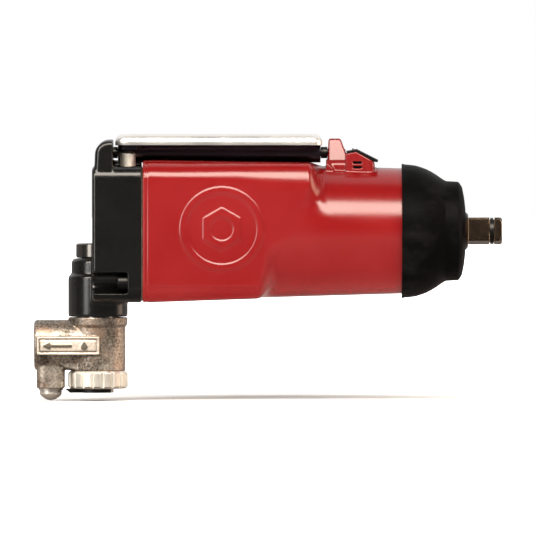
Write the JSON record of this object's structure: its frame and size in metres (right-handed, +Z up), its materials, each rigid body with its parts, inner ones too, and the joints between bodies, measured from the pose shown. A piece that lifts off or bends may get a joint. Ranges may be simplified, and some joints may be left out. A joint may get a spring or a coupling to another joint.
{
  "type": "impact wrench",
  "caption": "Air impact wrench with a butterfly rocker throttle, boxy grip, round nose, swivel air inlet and square drive.",
  "frame": {"origin": "middle of the front face of the square drive, on the drive axis", "axes": "+X along the drive axis out of the nose, +Z up towards the throttle lever, +Y to the left of someone looking along +X"},
  "size_m": [0.1872, 0.0538, 0.1062],
  "materials": {
    "red_paint": "gloss red paint on cast aluminium",
    "black_casting": "satin black paint on cast aluminium",
    "chrome": "polished chrome plate",
    "plated_steel": "bright zinc plate",
    "cast_nickel": "nickel-plated investment casting",
    "black_oxide": "black oxide",
    "dark_steel": "oiled phosphate steel",
    "ground_steel": "ground",
    "spring_steel": "bright drawn wire",
    "brass": "turned",
    "bronze": "sintered bronze",
    "rubber": "moulded black rubber",
    "gasket_fibre": "pressed fibre",
    "phenolic": "filled phenolic sheet"
  },
  "bodies": {
    "housing": {"motor_housing": "red_paint", "rear_cover": "black_casting", "rear_gasket": "gasket_fibre", "rear_cover_screws": "black_oxide", "lever_pin": "ground_steel", "lever_washers": "plated_steel", "valve_sleeves": "brass", "forward_plunger_spring": "spring_steel", "reverse_plunger_spring": "spring_steel", "inlet_stem": "ground_steel", "swivel_seals": "rubber", "swivel_nut": "plated_steel", "swivel_clip": "black_oxide", "rear_end_plate": "ground_steel", "motor_cylinder": "ground_steel", "cylinder_pin": "ground_steel", "front_end_plate": "ground_steel", "rear_bearing_outer_ring": "ground_steel", "front_bearing_outer_ring": "ground_steel", "anvil_bush": "bronze", "nose_housing": "red_paint", "nose_gasket": "gasket_fibre", "nose_screws": "black_oxide", "nose_boot": "rubber", "exhaust_deflector": "black_casting", "exhaust_silencer": "brass"},
    "throttle_lever": {"throttle_lever": "chrome"},
    "forward_plunger": {"forward_plunger": "plated_steel", "forward_plunger_seal": "rubber"},
    "reverse_plunger": {"reverse_plunger": "plated_steel", "reverse_plunger_seal": "rubber"},
    "power_regulator": {"regulator_knob": "ground_steel", "regulator_valve": "brass", "regulator_seal": "rubber", "regulator_screw": "black_oxide"},
    "inlet_swivel": {"swivel_body": "cast_nickel", "inlet_strainer": "brass", "oil_plug": "plated_steel", "oil_plug_washer": "plated_steel"},
    "motor_rotor": {"rotor": "ground_steel", "hammer_cage": "ground_steel", "hammer_pins": "ground_steel", "rear_bearing_inner_ring": "ground_steel", "front_bearing_inner_ring": "ground_steel"},
    "rear_ball_train": {"rear_bearing_balls": "ground_steel", "rear_bearing_cage": "brass"},
    "front_ball_train": {"front_bearing_balls": "ground_steel", "front_bearing_cage": "brass"},
    "hammer": {"hammer": "ground_steel"},
    "anvil": {"anvil": "dark_steel", "retainer_ring": "black_oxide"},
    "vane_1": {"vane_1": "phenolic"},
    "vane_2": {"vane_2": "phenolic"},
    "vane_3": {"vane_3": "phenolic"},
    "vane_4": {"vane_4": "phenolic"},
    "vane_5": {"vane_5": "phenolic"}
  },
  "joints": [
    {"name": "lever_rock", "type": "hinge", "parent": "housing", "child": "throttle_lever", "pos_m": [-0.112, 0, 0.0314], "axis": [1, 0, 0], "range_deg": [-12, 12]},
    {"name": "forward_plunger_slide", "type": "slide", "parent": "housing", "child": "forward_plunger", "axis": [0, 0, 1], "range_m": [-0.0024, 0.0024], "deforming": ["forward_plunger_spring"]},
    {"name": "reverse_plunger_slide", "type": "slide", "parent": "housing", "child": "reverse_plunger", "axis": [0, 0, 1], "range_m": [-0.0024, 0.0024], "deforming": ["reverse_plunger_spring"]},
    {"name": "regulator_turn", "type": "hinge", "parent": "housing", "child": "power_regulator", "pos_m": [-0.1616, 0, -0.0078], "axis": [0, 0, 1], "range_deg": [0, 90]},
    {"name": "inlet_turn", "type": "hinge", "parent": "housing", "child": "inlet_swivel", "pos_m": [-0.1616, 0, -0.045], "axis": [0, 0, 1], "continuous": true},
    {"name": "motor_spin", "type": "hinge", "parent": "housing", "child": "motor_rotor", "pos_m": [-0.1134, 0, 0], "axis": [1, 0, 0], "continuous": true},
    {"name": "rear_balls_roll", "type": "hinge", "parent": "housing", "child": "rear_ball_train", "pos_m": [-0.1391, 0, 0], "axis": [1, 0, 0], "continuous": true},
    {"name": "front_balls_roll", "type": "hinge", "parent": "housing", "child": "front_ball_train", "pos_m": [-0.0879, 0, 0], "axis": [1, 0, 0], "continuous": true},
    {"name": "hammer_swing", "type": "hinge", "parent": "motor_rotor", "child": "hammer", "pos_m": [-0.0577, 0, 0.0126], "axis": [1, 0, 0], "range_deg": [-2.5, 2.5]},
    {"name": "anvil_spin", "type": "hinge", "parent": "housing", "child": "anvil", "pos_m": [-0.025, 0, 0], "axis": [1, 0, 0], "continuous": true},
    {"name": "vane_1_slide", "type": "slide", "parent": "motor_rotor", "child": "vane_1", "axis": [0, 0, 1], "range_m": [0, 0.0003]},
    {"name": "vane_2_slide", "type": "slide", "parent": "motor_rotor", "child": "vane_2", "axis": [0, -0.9511, 0.309], "range_m": [0, 0.0003]},
    {"name": "vane_3_slide", "type": "slide", "parent": "motor_rotor", "child": "vane_3", "axis": [0, -0.5878, -0.809], "range_m": [0, 0.0003]},
    {"name": "vane_4_slide", "type": "slide", "parent": "motor_rotor", "child": "vane_4", "axis": [0, 0.5878, -0.809], "range_m": [0, 0.0003]},
    {"name": "vane_5_slide", "type": "slide", "parent": "motor_rotor", "child": "vane_5", "axis": [0, 0.9511, 0.309], "range_m": [0, 0.0003]}
  ],
  "couplings": [
    {"joint": "forward_plunger_slide", "follows": "lever_rock", "m_per_rad": -0.0102},
    {"joint": "reverse_plunger_slide", "follows": "lever_rock", "m_per_rad": 0.0102},
    {"joint": "rear_balls_roll", "follows": "motor_spin", "ratio": 0.368},
    {"joint": "front_balls_roll", "follows": "motor_spin", "ratio": 0.381}
  ]
}
